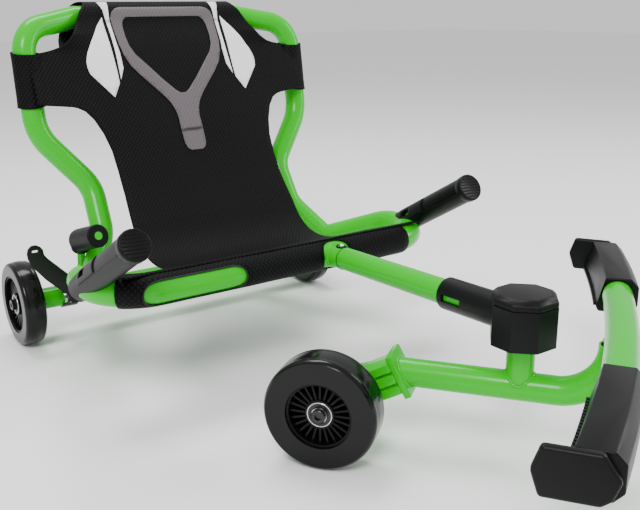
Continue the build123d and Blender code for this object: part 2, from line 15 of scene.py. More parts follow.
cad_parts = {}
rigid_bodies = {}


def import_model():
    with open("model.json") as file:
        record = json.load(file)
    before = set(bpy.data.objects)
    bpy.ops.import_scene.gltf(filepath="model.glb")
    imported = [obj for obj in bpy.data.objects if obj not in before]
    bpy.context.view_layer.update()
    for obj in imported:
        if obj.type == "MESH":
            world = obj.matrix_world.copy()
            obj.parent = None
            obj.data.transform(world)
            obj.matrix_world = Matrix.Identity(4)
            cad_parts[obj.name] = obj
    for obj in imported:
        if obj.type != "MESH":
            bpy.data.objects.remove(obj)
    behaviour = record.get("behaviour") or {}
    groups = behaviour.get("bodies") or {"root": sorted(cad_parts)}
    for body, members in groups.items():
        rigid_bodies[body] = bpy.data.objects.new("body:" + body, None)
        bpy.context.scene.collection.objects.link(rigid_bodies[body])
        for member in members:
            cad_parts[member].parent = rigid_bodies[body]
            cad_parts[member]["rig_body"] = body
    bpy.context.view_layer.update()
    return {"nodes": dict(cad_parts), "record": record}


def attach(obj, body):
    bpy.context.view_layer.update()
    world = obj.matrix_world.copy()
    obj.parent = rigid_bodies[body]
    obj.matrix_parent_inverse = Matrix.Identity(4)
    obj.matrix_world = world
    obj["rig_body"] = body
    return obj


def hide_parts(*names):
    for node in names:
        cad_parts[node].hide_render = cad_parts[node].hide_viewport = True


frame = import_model()
nodes = frame["nodes"]

# %% [markdown]
# ## Materials
# Each finish is one small node tree. Paint is a smooth coat over strong colour, moulded plastic carries a very fine
# grain that breaks up its highlights, and the tyres are glossy cast urethane. A bump that is far smaller than the
# part is what tells the eye "plastic" or "paint", so it matters more than the colour.

# %% Materials


def finish_of(name, color, rough, metallic=0.0, coat=0.0, grain=0.0, grain_scale=1500.0, specular=0.5):
    mat = bpy.data.materials.new(name)
    mat.use_nodes = True
    tree = mat.node_tree
    bsdf = tree.nodes["Principled BSDF"]
    bsdf.inputs["Base Color"].default_value = (*color, 1.0)
    bsdf.inputs["Roughness"].default_value = rough
    bsdf.inputs["Metallic"].default_value = metallic
    bsdf.inputs["Coat Weight"].default_value = coat
    bsdf.inputs["Coat Roughness"].default_value = 0.04
    bsdf.inputs["Specular IOR Level"].default_value = specular
    if grain:
        coord = tree.nodes.new("ShaderNodeTexCoord")
        noise = tree.nodes.new("ShaderNodeTexNoise")
        noise.inputs["Scale"].default_value = grain_scale
        noise.inputs["Detail"].default_value = 2.0
        bump = tree.nodes.new("ShaderNodeBump")
        bump.inputs["Strength"].default_value = grain
        bump.inputs["Distance"].default_value = 0.0004
        tree.links.new(coord.outputs["Object"], noise.inputs["Vector"])
        tree.links.new(noise.outputs["Fac"], bump.inputs["Height"])
        tree.links.new(bump.outputs["Normal"], bsdf.inputs["Normal"])
    return mat


def cloth_finish(name, color, rough, weave=0.55, sheen=0.15, painted_weave_shade=0.5):
    """A twill weave: two sets of fine diagonal ridges in the piece's own UV map, which is in metres. The base colour
    follows the same ridges, darker in the hollows and lighter on the tops: painted shade and painted highlight.
    """
    mat = bpy.data.materials.new(name)
    mat.use_nodes = True
    tree = mat.node_tree
    bsdf = tree.nodes["Principled BSDF"]
    bsdf.inputs["Roughness"].default_value = rough
    bsdf.inputs["Specular IOR Level"].default_value = 0.1
    bsdf.inputs["Sheen Weight"].default_value = sheen
    bsdf.inputs["Sheen Roughness"].default_value = 0.4
    uv = tree.nodes.new("ShaderNodeUVMap")
    uv.uv_map = "cloth"
    ridges = []
    for turn in (38.0, -38.0):
        mapping = tree.nodes.new("ShaderNodeMapping")
        mapping.inputs["Rotation"].default_value = (0.0, 0.0, math.radians(turn))
        wave = tree.nodes.new("ShaderNodeTexWave")
        wave.inputs["Scale"].default_value = 70.0
        wave.inputs["Distortion"].default_value = 0.4
        wave.inputs["Detail"].default_value = 1.0
        tree.links.new(uv.outputs["UV"], mapping.inputs["Vector"])
        tree.links.new(mapping.outputs["Vector"], wave.inputs["Vector"])
        ridges.append(wave)
    both = tree.nodes.new("ShaderNodeMath")
    both.operation = "MULTIPLY"
    tree.links.new(ridges[0].outputs["Fac"], both.inputs[0])
    tree.links.new(ridges[1].outputs["Fac"], both.inputs[1])
    bump = tree.nodes.new("ShaderNodeBump")
    bump.inputs["Strength"].default_value = weave
    bump.inputs["Distance"].default_value = 0.0006
    # Base colour from the weave's height: darker in its hollows and lighter on its ridges, a painted shade and a
    # painted highlight.
    ramp = tree.nodes.new("ShaderNodeMix")
    ramp.data_type = "RGBA"
    ramp.inputs["A"].default_value = (*[c * (1 - painted_weave_shade) for c in color], 1.0)
    ramp.inputs["B"].default_value = (*[min(c * (1 + 2 * painted_weave_shade), 0.9) for c in color], 1.0)
    tree.links.new(both.outputs["Value"], ramp.inputs["Factor"])
    tree.links.new(ramp.outputs["Result"], bsdf.inputs["Base Color"])
    tree.links.new(both.outputs["Value"], bump.inputs["Height"])
    tree.links.new(bump.outputs["Normal"], bsdf.inputs["Normal"])
    return mat


GREEN = finish_of("green_paint", (0.004, 0.47, 0.0), 0.24, coat=0.12, specular=0.22)
PLASTIC = finish_of("black_plastic", (0.004, 0.004, 0.0045), 0.38, grain=0.25, specular=0.14)
HUB = finish_of("hub_plastic", (0.003, 0.003, 0.0032), 0.34, specular=0.14)
TREAD = finish_of("tyre_urethane", (0.003, 0.003, 0.0033), 0.2, coat=0.08, specular=0.2)
BLACK_STEEL = finish_of("black_steel", (0.004, 0.004, 0.004), 0.33, specular=0.3)
DARK_STEEL = finish_of("dark_steel", (0.045, 0.045, 0.047), 0.3, metallic=1.0)
STEEL = finish_of("bright_steel", (0.62, 0.62, 0.64), 0.24, metallic=1.0)
# The seat cloth and both prints carry the weave's painted shade and painted highlight in their colour.
CLOTH = cloth_finish("seat_cloth", (0.0035, 0.0035, 0.004), 0.6, weave=0.8, sheen=0.0, painted_weave_shade=0.75)
WHITE = cloth_finish("white_print", (0.86, 0.86, 0.86), 0.5, weave=0.12, sheen=0.0, painted_weave_shade=0.06)
GREY = cloth_finish("grey_print", (0.125, 0.11, 0.118), 0.5, weave=0.15, sheen=0.0, painted_weave_shade=0.1)
THREAD = finish_of("thread", (0.012, 0.012, 0.013), 0.6, specular=0.3)

SLOT_LOOK = {
    "green_paint": GREEN,
    "black_plastic": PLASTIC,
    "wheel_plastic": HUB,
    "tread": TREAD,
    "black_steel": BLACK_STEEL,
    "bright_steel": STEEL,
    "seat_cloth": CLOTH,
}


def paint(obj, mat):
    obj.data.materials.clear()
    obj.data.materials.append(mat)


for part in frame["record"]["subparts"]:
    paint(nodes[part["node"]], SLOT_LOOK[part["material_slot"]])
for node in ("axle_bolts", "front_bolt", "front_bearings", "rear_bearings_left", "rear_bearings_right", "axle_washers"):
    paint(nodes[node], DARK_STEEL)

# %% [markdown]
# ## Mesh helpers
# Every piece here is built from points in the kart's frame, so its object stays at the origin and its place is in
# its vertices. Three small builders cover almost all of it: a grid of points, a tube along a path, and a flat
# outline that is wrapped on to the seat's curve.

# %% Helpers


def link(name, mesh, mat, smooth=True):
    obj = bpy.data.objects.new(name, mesh)
    bpy.context.scene.collection.objects.link(obj)
    paint(obj, mat)
    for poly in mesh.polygons:
        poly.use_smooth = smooth
    return obj


def faces_out(mesh):
    bm = bmesh.new()
    bm.from_mesh(mesh)
    bmesh.ops.remove_doubles(bm, verts=bm.verts, dist=1e-6)
    bmesh.ops.recalc_face_normals(bm, faces=bm.faces)
    bm.to_mesh(mesh)
    bm.free()


def mesh_of(name, points, faces):
    mesh = bpy.data.meshes.new(name)
    mesh.from_pydata([tuple(p) for p in points], [], faces)
    mesh.update()
    return mesh


def smooth_line(points, step):
    """Catmull-Rom curve through the points, sampled about every step metres."""
    pts = [np.array(p, float) for p in points]
    pts = [2 * pts[0] - pts[1]] + pts + [2 * pts[-1] - pts[-2]]
    out = []
    for a, b, c, d in zip(pts, pts[1:], pts[2:], pts[3:]):
        count = max(2, int(np.linalg.norm(c - b) / step))
        for t in np.arange(count) / count:
            out.append(
                0.5 * (2 * b + (c - a) * t + (2 * a - 5 * b + 4 * c - d) * t**2 + (3 * b - a - 3 * c + d) * t**3)
            )
    out.append(pts[-2])
    return np.array(out)


def rounded_line(points, radii, step=0.004):
    """Straight runs joined by circular bends, as a tube bender makes them."""
    pts = [np.array(p, float) for p in points]
    out = [pts[0]]
    for n in range(1, len(pts) - 1):
        a = (pts[n - 1] - pts[n]) / np.linalg.norm(pts[n - 1] - pts[n])
        b = (pts[n + 1] - pts[n]) / np.linalg.norm(pts[n + 1] - pts[n])
        half = 0.5 * math.acos(np.clip(np.dot(a, b), -1, 1))
        reach = radii[n - 1] / math.tan(half)
        centre = pts[n] + (a + b) / np.linalg.norm(a + b) * radii[n - 1] / math.sin(half)
        p, q = pts[n] + a * reach - centre, pts[n] + b * reach - centre
        turn = math.acos(np.clip(np.dot(p, q) / radii[n - 1] ** 2, -1, 1))
        count = max(3, int(turn * radii[n - 1] / step))
        for t in np.arange(count + 1) / count:
            out.append(centre + (p * math.sin((1 - t) * turn) + q * math.sin(t * turn)) / math.sin(turn))
    out.append(pts[-1])
    return resample(np.array(out), step)


def resample(line, step):
    lengths = np.r_[0, np.cumsum(np.linalg.norm(np.diff(line, axis=0), axis=1))]
    at = np.linspace(0, lengths[-1], max(2, int(lengths[-1] / step) + 1))
    return np.stack([np.interp(at, lengths, line[:, k]) for k in range(3)], axis=1)


def tube(name, line, radius, mat, sides=16, closed=False):
    """A round bead or cord of the given radius along a line of points."""
    line = np.array(line, float)
    count = len(line)
    ahead = np.roll(line, -1, axis=0) - np.roll(line, 1, axis=0)
    if not closed:
        ahead[0], ahead[-1] = line[1] - line[0], line[-1] - line[-2]
    normal = np.cross(ahead[0], (0.3, 0.5, 0.8))
    points, faces = [], []
    for p, t in zip(line, ahead):
        t = t / np.linalg.norm(t)
        normal = normal - np.dot(normal, t) * t
        normal /= np.linalg.norm(normal)
        other = np.cross(t, normal)
        for k in range(sides):
            angle = 2 * math.pi * k / sides
            points.append(p + radius * (math.cos(angle) * normal + math.sin(angle) * other))
    for n in range(count if closed else count - 1):
        for k in range(sides):
            a, b = n * sides + k, n * sides + (k + 1) % sides
            c, d = ((n + 1) % count) * sides + (k + 1) % sides, ((n + 1) % count) * sides + k
            faces.append((a, b, c, d))
    if not closed:
        faces.append(tuple(range(sides - 1, -1, -1)))
        faces.append(tuple(range((count - 1) * sides, count * sides)))
    mesh = mesh_of(name, points, faces)
    faces_out(mesh)
    return link(name, mesh, mat)


def soft_copy(node, width, mat, angle=32, segments=3):
    """A copy of a CAD part with its sharp edges rounded, shown in place of the CAD node."""
    source = nodes[node]
    mesh = source.data.copy()
    mesh.name = node + "_look"
    bm = bmesh.new()
    bm.from_mesh(mesh)
    bmesh.ops.remove_doubles(bm, verts=bm.verts, dist=2e-6)
    bmesh.ops.dissolve_limit(bm, angle_limit=math.radians(1.0), verts=bm.verts, edges=bm.edges)
    bm.to_mesh(mesh)
    bm.free()
    obj = link(node + "_look", mesh, mat)
    bevel = obj.modifiers.new("soft edges", "BEVEL")
    bevel.width = width
    bevel.segments = segments
    bevel.limit_method = "ANGLE"
    bevel.angle_limit = math.radians(angle)
    bevel.harden_normals = True
    bevel.use_clamp_overlap = True
    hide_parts(node)
    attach(obj, source["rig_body"])
    return obj


# %% [markdown]
# ## The seat's curve
# A sling seat is one strip of cloth that hangs between two tubes. Its side view is a single curve, so the cloth is
# made as a grid: rows follow the curve from the front bar, down through the seat, up the back, over the top tube and
# a little way down behind it. How wide each row is comes from a second table, which is what gives the shoulders.

# %% Seat curve
BAR = np.array((-0.325, 0.1585))
TOP = np.array((0.028, 0.469))
TOP_LOOP = 0.0205
FRONT_CURVE = [
    (-0.331, 0.1800), (-0.316, 0.1765), (-0.300, 0.1700), (-0.270, 0.1575), (-0.225, 0.1505), (-0.190, 0.1535),
    (-0.161, 0.1690), (-0.1375, 0.1970), (-0.1120, 0.2330), (-0.0895, 0.2730), (-0.0655, 0.3230),
    (-0.0455, 0.3650), (-0.0180, 0.4230), (0.0035, 0.4600),
]
LOOP = [
    (TOP[0] + TOP_LOOP * math.cos(math.radians(a)), TOP[1] + TOP_LOOP * math.sin(math.radians(a)))
    for a in (160, 130, 100, 70, 40, 10)
]
BACK_CURVE = [(0.0480, 0.4540), (0.0400, 0.4340), (0.0180, 0.4180), (-0.0100, 0.4200), (-0.0165, 0.4215)]
curve = smooth_line([(0, *p) for p in FRONT_CURVE + LOOP + BACK_CURVE], 0.002)[:, 1:]
arc = np.r_[0, np.cumsum(np.linalg.norm(np.diff(curve, axis=0), axis=1))]
top_row = int(np.argmax(curve[:, 1]))
WIDTH_BY_Y = [(-0.331, 0.229), (-0.300, 0.222), (-0.285, 0.200), (-0.268, 0.158), (-0.255, 0.141), (-0.235, 0.134)]
WIDTH_BY_Z = [
    (0.150, 0.1335), (0.190, 0.1335), (0.230, 0.1300), (0.261, 0.1297), (0.288, 0.1312), (0.311, 0.1370),
    (0.331, 0.1460), (0.343, 0.1560), (0.3490, 0.1680), (0.3520, 0.1930), (0.3545, 0.2190), (0.4200, 0.2190),
    (0.4225, 0.1990), (0.4255, 0.1830), (0.4300, 0.1690), (0.4370, 0.1590), (0.4450, 0.1510), (0.4550, 0.1435),
    (0.4650, 0.1380), (0.4780, 0.1305), (0.4890, 0.1200),
]


def half_width(row):
    y, z = curve[row]
    if row > top_row:
        behind = (arc[row] - arc[top_row]) / (arc[-1] - arc[top_row])
        return float(np.interp(behind, (0, 0.2, 0.5, 0.8, 1), (0.121, 0.138, 0.152, 0.160, 0.150)))
    if y < -0.235:
        return float(np.interp(y, *zip(*WIDTH_BY_Y)))
    return float(np.interp(z, *zip(*WIDTH_BY_Z)))


def sag_at(x, s):
    """Small soft waves in the cloth, deepest in the middle of the seat and gone near the two tubes."""
    fade = np.clip((s - 0.03) / 0.03, 0, 1) * np.clip((arc[top_row] - 0.03 - s) / 0.05, 0, 1)
    wave = 0.0010 * math.sin(9 * s + 3) * math.cos(11 * x) + 0.0006 * math.sin(41 * x + 13 * s)
    return fade * (wave - 0.004 * math.exp(-(((s - 0.15) / 0.07) ** 2)) * (1 - (x / 0.14) ** 2))


def lean_at(x, z):
    """The shoulders lean forwards, to clear the bends of the tube behind them."""
    return max(abs(x) - 0.105, 0) * 0.22 * float(np.clip((z - 0.425) / 0.02, 0, 1))


def out_of(row):
    tangent = curve[min(row + 1, len(curve) - 1)] - curve[max(row - 1, 0)]
    tangent = tangent / np.linalg.norm(tangent)
    return np.array((-tangent[1], tangent[0]))


print("sling curve is", round(float(arc[-1]), 4), "m long")

# %% [markdown]
# ## Main seat cloth
# The grid is bent along the curve, then a Solidify modifier gives it the thickness of doubled webbing cloth. The UV
# map is laid out in metres along the cloth, so the weave keeps its real size wherever the sheet bends.

# %% Main seat cloth


def add_uv(mesh, uvs):
    layer = mesh.uv_layers.new(name="cloth")
    for loop in mesh.loops:
        layer.data[loop.index].uv = uvs[loop.vertex_index]


def thicken(obj, thickness, offset=0.0):
    solid = obj.modifiers.new("thickness", "SOLIDIFY")
    solid.thickness = thickness
    solid.offset = offset


ACROSS = 56
points, uvs, faces = [], [], []
for row in range(len(curve)):
    width = half_width(row)
    for col in range(ACROSS + 1):
        x = width * (2 * col / ACROSS - 1)
        y, z = curve[row] + out_of(row) * sag_at(x, arc[row])
        if row <= top_row:
            y -= lean_at(x, z)
        points.append((x, y, z))
        uvs.append((x, arc[row]))
for row in range(len(curve) - 1):
    for col in range(ACROSS):
        a = row * (ACROSS + 1) + col
        faces.append((a, a + 1, a + ACROSS + 2, a + ACROSS + 1))
mesh = mesh_of("seat_cloth_sheet", points, faces)
add_uv(mesh, uvs)
seat = link("seat_cloth_sheet", mesh, CLOTH)
thicken(seat, 0.0022)

# %% [markdown]
# ## Sleeves on the side tubes
# Each side of the back is sewn into a short sleeve that slips over the bent tube. The sleeve is a tube of cloth
# slightly bigger than the metal one, with a soft crease where it is pulled forwards by the panel.

# %% Side sleeves
BACK_TUBE = [
    (0.206, -0.150, 0.112), (0.160, -0.096, 0.175), (0.157, -0.060, 0.236), (0.219, -0.029, 0.312),
    (0.219, -0.004, 0.452), (0.130, 0.028, 0.469), (0.110, 0.028, 0.469),
]
back_line = rounded_line(BACK_TUBE, [0.055, 0.055, 0.070, 0.042, 0.030], 0.002)


def tube_centre(z):
    rising = back_line[: int(np.argmax(back_line[:, 2] > 0.462))]
    return np.array([np.interp(z, rising[:, 2], rising[:, k]) for k in range(2)])


def side_sleeve(side):
    name = "seat_sleeve_left" if side > 0 else "seat_sleeve_right"
    points, uvs, faces = [], [], []
    rows, around = 44, 48
    for r in range(rows + 1):
        for k in range(around + 1):
            angle = 2 * math.pi * k / around
            outer = 0.5 - 0.5 * math.cos(angle)
            low, high = 0.3525 - 0.003 * outer, 0.4225 + 0.001 * outer
            z = low + (high - low) * r / rows
            cx, cy = tube_centre(z)
            radius = 0.0176 + 0.0007 * math.sin(3 * angle + 30 * z)
            flare = 1 + 0.04 * abs(2 * r / rows - 1) ** 6
            x = cx - radius * flare * math.cos(angle)
            y = cy - radius * flare * math.sin(angle) * 1.0
            if 0 < math.sin(angle) and math.cos(angle) > 0:
                y = cy - radius * max(math.sin(angle), 0.75)
            points.append((side * x, y, z - 0.004 * math.sin(angle) * 0.5))
            uvs.append((angle * radius, z))
    for r in range(rows):
        for k in range(around):
            a = r * (around + 1) + k
            faces.append((a, a + 1, a + around + 2, a + around + 1))
    mesh = mesh_of(name, points, faces)
    add_uv(mesh, uvs)
    obj = link(name, mesh, CLOTH)
    thicken(obj, 0.0018, 0.0)
    return obj


sleeves = [side_sleeve(1), side_sleeve(-1)]

# %% [markdown]
# ## Front sleeve with its window
# The front of the seat is sewn round the thick front bar. A long window shows the paint on one side, and a second
# opening lets the boom out. The grid runs round the bar and along it, and the edges of both openings bend the grid's
# own columns, which keeps the curved ends smooth without any cutting.

# %% Front sleeve
SLEEVE_END, SLEEVE_FAR = 0.229, 0.194  # the sleeve ends nearer the middle on the left side
WINDOW = (-0.204, -0.071, 46.0, 146.0)
BEND_START, BEND_R = 0.184, 0.062
BOOM_X = 0.0697
BOOM_CUT = (0.0215, 20.0, 158.0)


def on_bar(along, angle, radius):
    """A point on the front bar's skin: a distance along its middle line, and an angle round it from the top."""
    a = math.radians(angle)
    turn = max(abs(along) - BEND_START, 0) / BEND_R
    side = 1 if along > 0 else -1
    x = min(abs(along), BEND_START) + (BEND_R + radius * math.sin(a)) * math.sin(turn)
    y = BAR[0] + BEND_R - (BEND_R + radius * math.sin(a)) * math.cos(turn)
    return (side * x, y, BAR[1] + radius * math.cos(a))


def opening_edges(angle):
    """Where the window's and the boom opening's edges lie along the bar, at an angle round it from the top."""
    left, right, low, high = WINDOW
    t = np.clip((angle - low) / (high - low) * 2 - 1, -1, 1)
    round_in = 0.020 * (1 - math.sqrt(max(0.0, 1 - abs(t) ** 2.6)))
    half, low, high = BOOM_CUT
    u = np.clip((angle - low) / (high - low) * 2 - 1, -1, 1)
    grow = half * math.sqrt(max(0.0, 1 - abs(u) ** 3))
    return left + round_in, right - round_in, BOOM_X - grow, BOOM_X + grow


angles = sorted(set(
    [float(a) for a in range(0, 361, 6)]
    + [WINDOW[2] + d for d in (0, 0.6, 2, 4)] + [WINDOW[3] - d for d in (0, 0.6, 2, 4)]
    + [BOOM_CUT[1] + d for d in (0, 0.6, 2, 4)] + [BOOM_CUT[2] - d for d in (0, 0.6, 2, 4)]
))
points, uvs, faces = [], [], []
parts = (12, 14, 12, 8, 16)
for angle in angles:
    edges = [-SLEEVE_END, *opening_edges(angle), SLEEVE_FAR]
    xs = [edges[0]]
    for n, count in enumerate(parts):
        xs += [edges[n] + (edges[n + 1] - edges[n]) * (k + 1) / count for k in range(count)]
    for x in xs:
        a = math.radians(angle)
        radius = 0.0203 + 0.0002 * math.sin(60 * x + 2 * a)
        points.append(on_bar(x, angle, radius))
        uvs.append((x, radius * a))
per_row = sum(parts) + 1
skips = [(parts[0], parts[0] + parts[1], WINDOW[2], WINDOW[3]),
         (sum(parts[:3]), sum(parts[:4]), BOOM_CUT[1], BOOM_CUT[2])]
for n in range(len(angles) - 1):
    middle = (angles[n] + angles[n + 1]) / 2
    for k in range(per_row - 1):
        if any(a <= k < b and low < middle < high for a, b, low, high in skips):
            continue
        a = n * per_row + k
        faces.append((a, a + per_row, a + per_row + 1, a + 1))
mesh = mesh_of("seat_front_sleeve", points, faces)
add_uv(mesh, uvs)
bm = bmesh.new()
bm.from_mesh(mesh)
bmesh.ops.remove_doubles(bm, verts=bm.verts, dist=2e-5)
bm.to_mesh(mesh)
bm.free()
front_sleeve = link("seat_front_sleeve", mesh, CLOTH)
thicken(front_sleeve, 0.0018, 0.0)


def window_line(grow, radius):
    low, high = WINDOW[2] - grow * 30, WINDOW[3] + grow * 30
    span = np.linspace(WINDOW[2] + 0.5, WINDOW[3] - 0.5, 24)
    left = [on_bar(opening_edges(a)[0] - grow * 0.012, a, radius) for a in span]
    right = [on_bar(opening_edges(a)[1] + grow * 0.012, a, radius) for a in span[::-1]]
    return left + right


piping = tube("seat_window_piping", window_line(0.0, 0.0208), 0.0011, THREAD, 8, closed=True)

# %% [markdown]
# ## Printed panels
# The coloured shapes on the back are flat outlines in front view. Each outline is filled, cut into narrow bands so
# that it can bend, and then pushed back until it lies just in front of the cloth. Only one half is listed, and the
# other half is its mirror image.

# %% Printed panels
GREY_OUT = [
    (0.068, 0.4815), (0.076, 0.4795), (0.082, 0.4745), (0.0850, 0.466), (0.0845, 0.448), (0.0830, 0.430),
    (0.0795, 0.4140), (0.0730, 0.3995), (0.0620, 0.3865), (0.0320, 0.3555), (0.0245, 0.3460), (0.0195, 0.3350),
    (0.0175, 0.3240), (0.0180, 0.3060), (0.0175, 0.2880), (0.0150, 0.2805), (0.0090, 0.2770),
]
GREY_IN = [
    (0.0520, 0.4680), (0.0610, 0.4675), (0.0665, 0.4625), (0.0690, 0.4550), (0.0695, 0.4400), (0.0672, 0.4260),
    (0.0610, 0.4145), (0.0500, 0.4030), (0.0260, 0.3770), (0.0110, 0.3625), (0.0045, 0.3582),
]
PANEL = [
    (0.0975, 0.4680), (0.1090, 0.4550), (0.1236, 0.4355), (0.1340, 0.4180), (0.1378, 0.4080), (0.1385, 0.4000),
    (0.1368, 0.3910), (0.1085, 0.3575), (0.0965, 0.3760), (0.0958, 0.3920), (0.0962, 0.4135), (0.0968, 0.4340),
    (0.0972, 0.4510),
]
STRIPE = [
    (0.0990, 0.4880), (0.0945, 0.4780), (0.0925, 0.4620), (0.0915, 0.4440), (0.0915, 0.4170), (0.0930, 0.3810),
    (0.0855, 0.3960), (0.0848, 0.4180), (0.0862, 0.4300), (0.0866, 0.4460), (0.0868, 0.4620), (0.0860, 0.4780),
    (0.0835, 0.4880),
]


def wrapped(x, z, lift):
    """A point of the front view placed on the cloth, lift metres in front of it."""
    low = int(np.argmin(curve[:top_row, 1]))
    row = float(np.interp(z, curve[low : top_row + 1, 1], np.arange(low, top_row + 1)))
    base = int(min(row, top_row - 1))
    part = row - base
    ends = [curve[n] + out_of(n) * (sag_at(x, arc[n]) + lift) for n in (base, base + 1)]
    y, z = ends[0] * (1 - part) + ends[1] * part
    return (x, y - lean_at(x, z), z)


def printed(name, outline, hole, mat, lift=0.0019):
    bm = bmesh.new()
    rings = [outline] + ([hole] if hole else [])
    for ring_points in rings:
        verts = [bm.verts.new((x, 0, z)) for x, z in ring_points]
        for a, b in zip(verts, verts[1:] + verts[:1]):
            bm.edges.new((a, b))
    bmesh.ops.triangle_fill(bm, edges=bm.edges[:], use_beauty=True, use_dissolve=False)
    for z in np.arange(0.27, 0.49, 0.004):
        geometry = bm.verts[:] + bm.edges[:] + bm.faces[:]
        bmesh.ops.bisect_plane(bm, geom=geometry, plane_co=(0, 0, z), plane_no=(0, 0, 1))
    for x in np.arange(-0.14, 0.141, 0.01):
        geometry = bm.verts[:] + bm.edges[:] + bm.faces[:]
        bmesh.ops.bisect_plane(bm, geom=geometry, plane_co=(x, 0, 0), plane_no=(1, 0, 0))
    flat = {v: (v.co.x, v.co.z) for v in bm.verts}
    for v, (x, z) in flat.items():
        v.co = wrapped(x, z, lift)
    bmesh.ops.recalc_face_normals(bm, faces=bm.faces[:])
    mesh = bpy.data.meshes.new(name)
    bm.to_mesh(mesh)
    bm.free()
    add_uv(mesh, [(v.co.x, v.co.z) for v in mesh.vertices])
    obj = link(name, mesh, mat)
    thicken(obj, 0.0005, 0.0)
    return obj


def both_sides(half):
    return half + [(-x, z) for x, z in reversed(half)]


prints = [printed("print_grey_frame", both_sides(GREY_OUT), both_sides(GREY_IN), GREY)]
for side, word in ((1, "left"), (-1, "right")):
    prints.append(printed(f"print_panel_{word}", [(side * x, z) for x, z in PANEL], None, WHITE))
    prints.append(printed(f"print_stripe_{word}", [(side * x, z) for x, z in STRIPE], None, WHITE))

# %% [markdown]
# ## Repeated small parts
# Stitches, teeth and ribs are one small shape repeated along a line. A Geometry Nodes group does that: it walks along
# the line at a fixed pitch, puts a block at each point and turns it to follow the line. The result is realised
# and stored as a plain mesh, so nothing is left to compute when the model is used elsewhere.

# %% Repeater


def repeater():
    group = bpy.data.node_groups.new("blocks_along_line", "GeometryNodeTree")
    face = group.interface
    face.new_socket("Line", in_out="INPUT", socket_type="NodeSocketGeometry")
    face.new_socket("Pitch", in_out="INPUT", socket_type="NodeSocketFloat")
    face.new_socket("Block size", in_out="INPUT", socket_type="NodeSocketVector")
    face.new_socket("Lean", in_out="INPUT", socket_type="NodeSocketVector")
    face.new_socket("Material", in_out="INPUT", socket_type="NodeSocketMaterial")
    face.new_socket("Geometry", in_out="OUTPUT", socket_type="NodeSocketGeometry")
    add, wire = group.nodes.new, group.links.new
    inp, out = add("NodeGroupInput"), add("NodeGroupOutput")
    curve_node = add("GeometryNodeMeshToCurve")
    to_points = add("GeometryNodeCurveToPoints")
    to_points.mode = "LENGTH"
    cube = add("GeometryNodeMeshCube")
    place = add("GeometryNodeInstanceOnPoints")
    turn = add("GeometryNodeRotateInstances")
    realize = add("GeometryNodeRealizeInstances")
    stain = add("GeometryNodeSetMaterial")
    wire(inp.outputs["Line"], curve_node.inputs["Mesh"])
    wire(curve_node.outputs["Curve"], to_points.inputs["Curve"])
    wire(inp.outputs["Pitch"], to_points.inputs["Length"])
    wire(inp.outputs["Block size"], cube.inputs["Size"])
    wire(to_points.outputs["Points"], place.inputs["Points"])
    wire(to_points.outputs["Rotation"], place.inputs["Rotation"])
    wire(cube.outputs["Mesh"], place.inputs["Instance"])
    wire(place.outputs["Instances"], turn.inputs["Instances"])
    wire(inp.outputs["Lean"], turn.inputs["Rotation"])
    wire(turn.outputs["Instances"], realize.inputs["Geometry"])
    wire(realize.outputs["Geometry"], stain.inputs["Geometry"])
    wire(inp.outputs["Material"], stain.inputs["Material"])
    wire(stain.outputs["Geometry"], out.inputs["Geometry"])
    return group


REPEATER = repeater()


def along(name, line, pitch, size, mat, lean=(0, 0, 0)):
    mesh = bpy.data.meshes.new(name + "_line")
    mesh.from_pydata([tuple(p) for p in line], [(n, n + 1) for n in range(len(line) - 1)], [])
    carrier = bpy.data.objects.new(name + "_line", mesh)
    bpy.context.scene.collection.objects.link(carrier)
    modifier = carrier.modifiers.new("repeat", "NODES")
    modifier.node_group = REPEATER
    ids = {i.name: i.identifier for i in REPEATER.interface.items_tree if i.in_out == "INPUT"}
    modifier[ids["Pitch"]] = pitch
    modifier[ids["Block size"]] = size
    modifier[ids["Lean"]] = lean
    modifier[ids["Material"]] = mat
    graph = bpy.context.evaluated_depsgraph_get()
    made = bpy.data.meshes.new_from_object(carrier.evaluated_get(graph))
    made.name = name
    bpy.data.objects.remove(carrier)
    return link(name, made, mat, smooth=False)


# %% [markdown]
# ## Stitching
# A row of thread runs along each hem: inside both side edges of the back, round the window and across the shoulders.

# %% Stitching


def edge_line(side, inset, z_from, z_to):
    out = []
    for z in np.arange(z_from, z_to, 0.004):
        width = float(np.interp(z, *zip(*WIDTH_BY_Z))) - inset
        out.append(wrapped(side * width, z, 0.0013))
    return out


stitches = []
for side, word in ((1, "left"), (-1, "right")):
    edge = edge_line(side, 0.007, 0.20, 0.343)
    stitches.append(along(f"stitch_edge_{word}", edge, 0.0042, (0.0003, 0.0003, 0.0028), THREAD))
    seam = [wrapped(side * 0.2, z, 0.0013) for z in np.arange(0.356, 0.419, 0.004)]
    stitches.append(along(f"stitch_sleeve_{word}", seam, 0.0042, (0.0003, 0.0003, 0.0028), THREAD))
stitches.append(along("stitch_window", window_line(0.35, 0.0214), 0.0042, (0.0003, 0.0003, 0.0028), THREAD))

cloth_pieces = sleeves + [front_sleeve, piping] + prints + stitches
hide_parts("seat_sling")
for piece in [seat] + cloth_pieces:
    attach(piece, "seat_frame")

# %% [markdown]
# ## Moulded parts with soft edges
# Moulded plastic never has a knife edge, because the tool is radiused. Each of these parts is a copy of its CAD node
# with a small bevel on its sharp edges, so the shape stays the CAD shape and only the corners catch the light.

# %% Moulded parts
soft_copy("head_housing", 0.0022, PLASTIC)
soft_copy("head_cap", 0.0018, PLASTIC).modifiers["soft edges"].use_clamp_overlap = False
for word in ("left", "right"):
    soft_copy(f"foot_plate_{word}", 0.0030, PLASTIC)
    soft_copy(f"foot_pad_{word}", 0.0016, PLASTIC)


LEG_TOP = 0.1485


